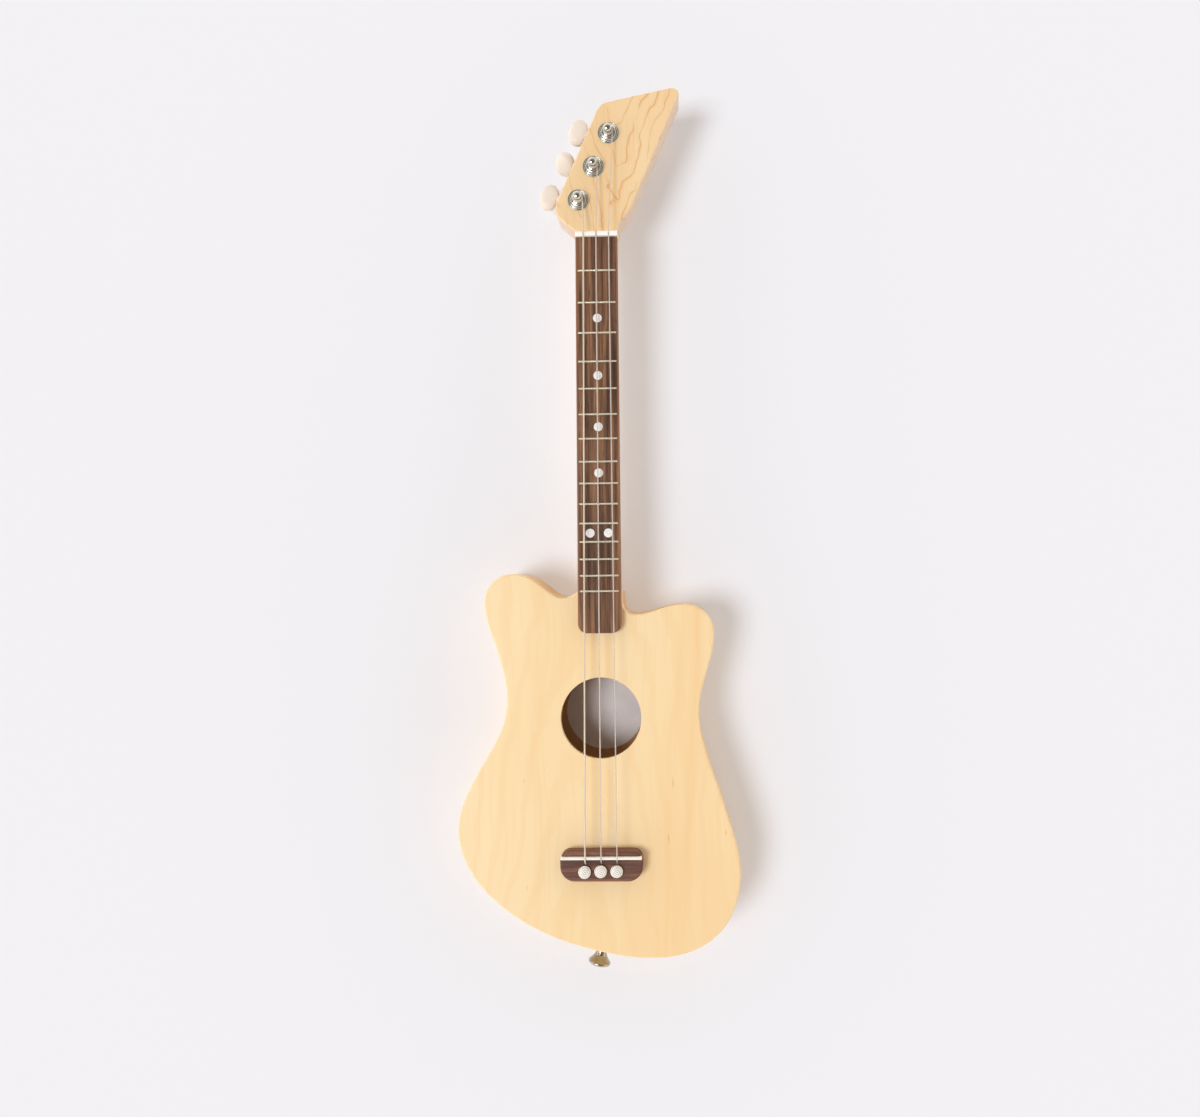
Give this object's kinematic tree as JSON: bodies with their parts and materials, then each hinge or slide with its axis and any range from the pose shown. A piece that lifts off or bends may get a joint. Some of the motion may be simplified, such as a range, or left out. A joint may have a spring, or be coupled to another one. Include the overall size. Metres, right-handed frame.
{
  "type": "mini acoustic guitar",
  "caption": "Small hollow-bodied travel guitar with a double-horned body, slanted headstock, open-gear tuners, nylon strings held by bridge pins and a strap button",
  "frame": {"origin": "on the outer face of the back, straight behind the centre of the sound hole", "axes": "+Y along the neck to the headstock, +Z out of the soundboard, +X to the player's treble side as seen from the front"},
  "size_m": [0.1724, 0.5519, 0.0538],
  "materials": {
    "basswood": "satin clear lacquer",
    "maple": "satin clear lacquer",
    "spruce": "bare",
    "walnut": "oiled",
    "ivory_plastic": "polished",
    "cream_plastic": "polished",
    "nickel": "nickel plated",
    "brass": "machined",
    "steel": "zinc plated",
    "fret_wire": "polished nickel silver",
    "nylon": "clear nylon"
  },
  "bodies": {
    "instrument": {"back": "basswood", "back_brace": "spruce", "bridge": "walnut", "bridge_plate": "maple", "fingerboard": "walnut", "fret_01": "fret_wire", "fret_02": "fret_wire", "fret_03": "fret_wire", "fret_04": "fret_wire", "fret_05": "fret_wire", "fret_06": "fret_wire", "fret_07": "fret_wire", "fret_08": "fret_wire", "fret_09": "fret_wire", "fret_10": "fret_wire", "fret_11": "fret_wire", "fret_12": "fret_wire", "fret_13": "fret_wire", "fret_14": "fret_wire", "fret_15": "fret_wire", "neck": "maple", "neck_block": "maple", "nut": "ivory_plastic", "rim": "basswood", "saddle": "ivory_plastic", "soundboard": "basswood", "strap_button": "nickel", "string_1": "nylon", "string_2": "nylon", "string_3": "nylon", "tail_block": "maple", "top_brace_lower": "spruce", "top_brace_upper": "spruce", "tuner_1_bushing": "nickel", "tuner_1_plate": "nickel", "tuner_1_screw": "steel", "tuner_2_bushing": "nickel", "tuner_2_plate": "nickel", "tuner_2_screw": "steel", "tuner_3_bushing": "nickel", "tuner_3_plate": "nickel", "tuner_3_screw": "steel"},
    "knob_1": {"tuner_1_worm": "nickel", "tuner_1_button": "cream_plastic"},
    "spindle_1": {"tuner_1_post": "nickel", "tuner_1_gear": "brass", "string_winding_1": "nylon"},
    "pin_1": {"bridge_pin_1": "ivory_plastic"},
    "knob_2": {"tuner_2_worm": "nickel", "tuner_2_button": "cream_plastic"},
    "spindle_2": {"tuner_2_post": "nickel", "tuner_2_gear": "brass", "string_winding_2": "nylon"},
    "pin_2": {"bridge_pin_2": "ivory_plastic"},
    "knob_3": {"tuner_3_worm": "nickel", "tuner_3_button": "cream_plastic"},
    "spindle_3": {"tuner_3_post": "nickel", "tuner_3_gear": "brass", "string_winding_3": "nylon"},
    "pin_3": {"bridge_pin_3": "ivory_plastic"}
  },
  "joints": [
    {"name": "tuner_1_turn", "type": "hinge", "parent": "instrument", "child": "knob_1", "pos_m": [-0.01, 0.32962, 0.017], "axis": [0.9659, -0.2588, 0], "continuous": true},
    {"name": "spindle_1_turn", "type": "hinge", "parent": "instrument", "child": "spindle_1", "pos_m": [-0.0115, 0.32401, 0], "axis": [0, 0, 1], "continuous": true},
    {"name": "pin_1_pull", "type": "slide", "parent": "instrument", "child": "pin_1", "axis": [0, 0, 1], "range_m": [0, 0.022]},
    {"name": "tuner_2_turn", "type": "hinge", "parent": "instrument", "child": "knob_2", "pos_m": [-0.00029, 0.35102, 0.017], "axis": [0.9659, -0.2588, 0], "continuous": true},
    {"name": "spindle_2_turn", "type": "hinge", "parent": "instrument", "child": "spindle_2", "pos_m": [-0.00179, 0.34542, 0], "axis": [0, 0, 1], "continuous": true},
    {"name": "pin_2_pull", "type": "slide", "parent": "instrument", "child": "pin_2", "axis": [0, 0, 1], "range_m": [0, 0.022]},
    {"name": "tuner_3_turn", "type": "hinge", "parent": "instrument", "child": "knob_3", "pos_m": [0.00942, 0.37242, 0.017], "axis": [0.9659, -0.2588, 0], "continuous": true},
    {"name": "spindle_3_turn", "type": "hinge", "parent": "instrument", "child": "spindle_3", "pos_m": [0.00792, 0.36682, 0], "axis": [0, 0, 1], "continuous": true},
    {"name": "pin_3_pull", "type": "slide", "parent": "instrument", "child": "pin_3", "axis": [0, 0, 1], "range_m": [0, 0.022]}
  ],
  "couplings": [
    {"joint": "spindle_1_turn", "follows": "tuner_1_turn", "ratio": 0.071429},
    {"joint": "spindle_2_turn", "follows": "tuner_2_turn", "ratio": 0.071429},
    {"joint": "spindle_3_turn", "follows": "tuner_3_turn", "ratio": 0.071429}
  ]
}
